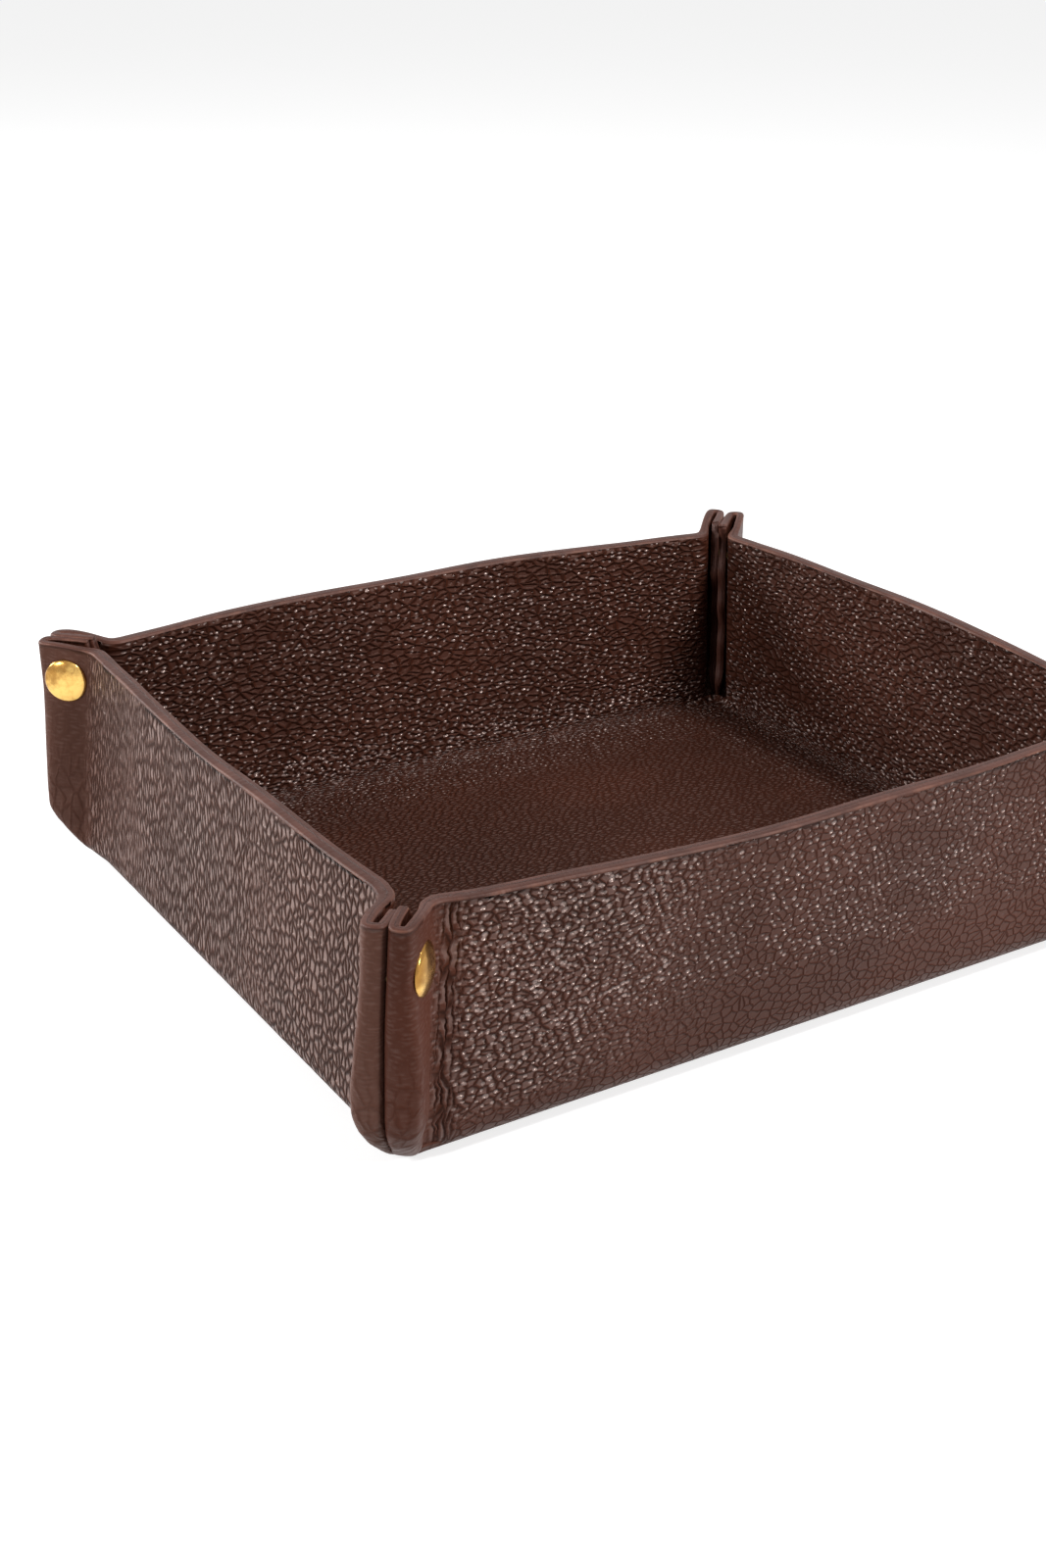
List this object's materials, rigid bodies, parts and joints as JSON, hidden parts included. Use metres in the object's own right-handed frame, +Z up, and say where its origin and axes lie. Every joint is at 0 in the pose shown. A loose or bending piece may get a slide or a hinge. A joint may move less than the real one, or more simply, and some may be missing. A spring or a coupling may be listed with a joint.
{
  "type": "valet tray",
  "caption": "Low rectangular leather valet tray whose upright walls are held at the corners by press studs on folded ears and fold down when unfastened.",
  "frame": {"origin": "middle of the base's underside, on the surface the tray stands on", "axes": "+X along the front wall to the right, +Y from the front wall to the back wall, +Z up"},
  "size_m": [0.219, 0.191, 0.0572],
  "materials": {
    "skin": "pebbled grain, semi-gloss",
    "lining": "pebbled grain, semi-gloss",
    "cap": "polished",
    "snap": "satin"
  },
  "bodies": {
    "base": {"base_skin": "skin", "base_lining": "lining"},
    "front_wall": {"front_wall_skin": "skin", "front_wall_lining": "lining"},
    "front_left_ear": {"front_left_skin": "skin", "front_left_lining": "lining", "front_left_cap": "cap", "front_left_socket": "snap"},
    "front_right_ear": {"front_right_skin": "skin", "front_right_lining": "lining", "front_right_stud": "snap", "front_right_eyelet": "cap"},
    "right_wall": {"right_wall_skin": "skin", "right_wall_lining": "lining"},
    "right_front_ear": {"right_front_skin": "skin", "right_front_lining": "lining", "right_front_cap": "cap", "right_front_socket": "snap"},
    "right_back_ear": {"right_back_skin": "skin", "right_back_lining": "lining", "right_back_stud": "snap", "right_back_eyelet": "cap"},
    "back_wall": {"back_wall_skin": "skin", "back_wall_lining": "lining"},
    "back_right_ear": {"back_right_skin": "skin", "back_right_lining": "lining", "back_right_cap": "cap", "back_right_socket": "snap"},
    "back_left_ear": {"back_left_skin": "skin", "back_left_lining": "lining", "back_left_stud": "snap", "back_left_eyelet": "cap"},
    "left_wall": {"left_wall_skin": "skin", "left_wall_lining": "lining"},
    "left_back_ear": {"left_back_skin": "skin", "left_back_lining": "lining", "left_back_cap": "cap", "left_back_socket": "snap"},
    "left_front_ear": {"left_front_skin": "skin", "left_front_lining": "lining", "left_front_stud": "snap", "left_front_eyelet": "cap"}
  },
  "joints": [
    {"name": "front_wall_fold", "type": "hinge", "parent": "base", "child": "front_wall", "pos_m": [0, -0.0832, 0.0028], "axis": [1, 0, 0], "range_deg": [0, 80]},
    {"name": "front_left_ear_crease", "type": "hinge", "parent": "front_wall", "child": "front_left_ear", "pos_m": [-0.0924, -0.0842, 0.03], "axis": [0, 0, -1], "range_deg": [0, 45]},
    {"name": "front_right_ear_crease", "type": "hinge", "parent": "front_wall", "child": "front_right_ear", "pos_m": [0.0924, -0.0842, 0.03], "axis": [0, 0, 1], "range_deg": [0, 45]},
    {"name": "right_wall_fold", "type": "hinge", "parent": "base", "child": "right_wall", "pos_m": [0.0972, 0, 0.0028], "axis": [0, 1, 0], "range_deg": [0, 80]},
    {"name": "right_front_ear_crease", "type": "hinge", "parent": "right_wall", "child": "right_front_ear", "pos_m": [0.0982, -0.0784, 0.03], "axis": [0, 0, -1], "range_deg": [0, 45]},
    {"name": "right_back_ear_crease", "type": "hinge", "parent": "right_wall", "child": "right_back_ear", "pos_m": [0.0982, 0.0784, 0.03], "axis": [0, 0, 1], "range_deg": [0, 45]},
    {"name": "back_wall_fold", "type": "hinge", "parent": "base", "child": "back_wall", "pos_m": [0, 0.0832, 0.0028], "axis": [-1, 0, 0], "range_deg": [0, 80]},
    {"name": "back_right_ear_crease", "type": "hinge", "parent": "back_wall", "child": "back_right_ear", "pos_m": [0.0924, 0.0842, 0.03], "axis": [0, 0, -1], "range_deg": [0, 45]},
    {"name": "back_left_ear_crease", "type": "hinge", "parent": "back_wall", "child": "back_left_ear", "pos_m": [-0.0924, 0.0842, 0.03], "axis": [0, 0, 1], "range_deg": [0, 45]},
    {"name": "left_wall_fold", "type": "hinge", "parent": "base", "child": "left_wall", "pos_m": [-0.0972, 0, 0.0028], "axis": [0, -1, 0], "range_deg": [0, 80]},
    {"name": "left_back_ear_crease", "type": "hinge", "parent": "left_wall", "child": "left_back_ear", "pos_m": [-0.0982, 0.0784, 0.03], "axis": [0, 0, -1], "range_deg": [0, 45]},
    {"name": "left_front_ear_crease", "type": "hinge", "parent": "left_wall", "child": "left_front_ear", "pos_m": [-0.0982, -0.0784, 0.03], "axis": [0, 0, 1], "range_deg": [0, 45]}
  ],
  "couplings": [
    {"joint": "front_left_ear_crease", "follows": "front_wall_fold", "ratio": 0.5},
    {"joint": "front_right_ear_crease", "follows": "front_wall_fold", "ratio": 0.5},
    {"joint": "right_front_ear_crease", "follows": "right_wall_fold", "ratio": 0.5},
    {"joint": "right_back_ear_crease", "follows": "right_wall_fold", "ratio": 0.5},
    {"joint": "back_right_ear_crease", "follows": "back_wall_fold", "ratio": 0.5},
    {"joint": "back_left_ear_crease", "follows": "back_wall_fold", "ratio": 0.5},
    {"joint": "left_back_ear_crease", "follows": "left_wall_fold", "ratio": 0.5},
    {"joint": "left_front_ear_crease", "follows": "left_wall_fold", "ratio": 0.5}
  ]
}
